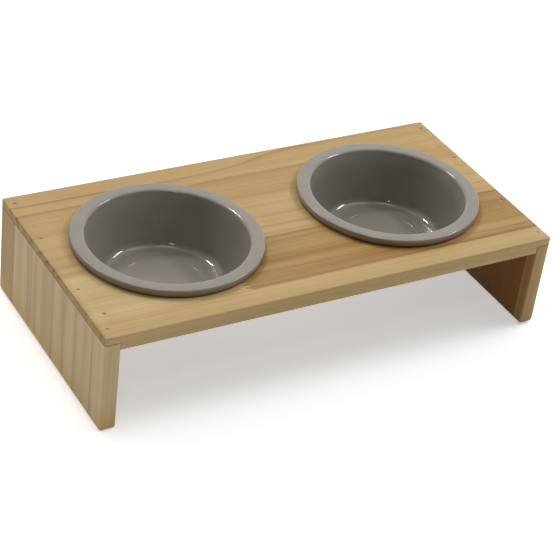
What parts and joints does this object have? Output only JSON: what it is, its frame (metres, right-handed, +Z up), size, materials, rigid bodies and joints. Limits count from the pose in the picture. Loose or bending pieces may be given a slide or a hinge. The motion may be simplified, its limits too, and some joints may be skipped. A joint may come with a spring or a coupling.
{
  "type": "dog feeder stand",
  "caption": "Low pine feeder stand for a small dog: a rebated plank top nailed to plank legs, with round holes that hold lift-out glazed stoneware bowls by their flat rims.",
  "frame": {"origin": "middle of the footprint, on the surface that the stand rests on", "axes": "+X along the board to the right as seen from the front, +Y to the back, +Z up"},
  "size_m": [0.4, 0.2, 0.0925],
  "materials": {
    "pine_board": "planed and sanded pine, unvarnished or thinly waxed",
    "pine_leg": "planed and sanded pine, unvarnished or thinly waxed",
    "taupe_glaze": "glossy taupe grey glaze over stoneware",
    "brad_steel": "dull wire steel"
  },
  "bodies": {
    "stand": {"top_board": "pine_board", "left_leg": "pine_leg", "right_leg": "pine_leg", "left_brad_1": "brad_steel", "left_brad_2": "brad_steel", "left_brad_3": "brad_steel", "left_brad_4": "brad_steel", "right_brad_1": "brad_steel", "right_brad_2": "brad_steel", "right_brad_3": "brad_steel", "right_brad_4": "brad_steel"},
    "left_bowl": {"left_bowl": "taupe_glaze"},
    "right_bowl": {"right_bowl": "taupe_glaze"}
  },
  "joints": [
    {"name": "left_bowl_lift", "type": "slide", "parent": "stand", "child": "left_bowl", "axis": [0, 0, 1], "range_m": [0, 0.08]},
    {"name": "right_bowl_lift", "type": "slide", "parent": "stand", "child": "right_bowl", "axis": [0, 0, 1], "range_m": [0, 0.08]}
  ]
}
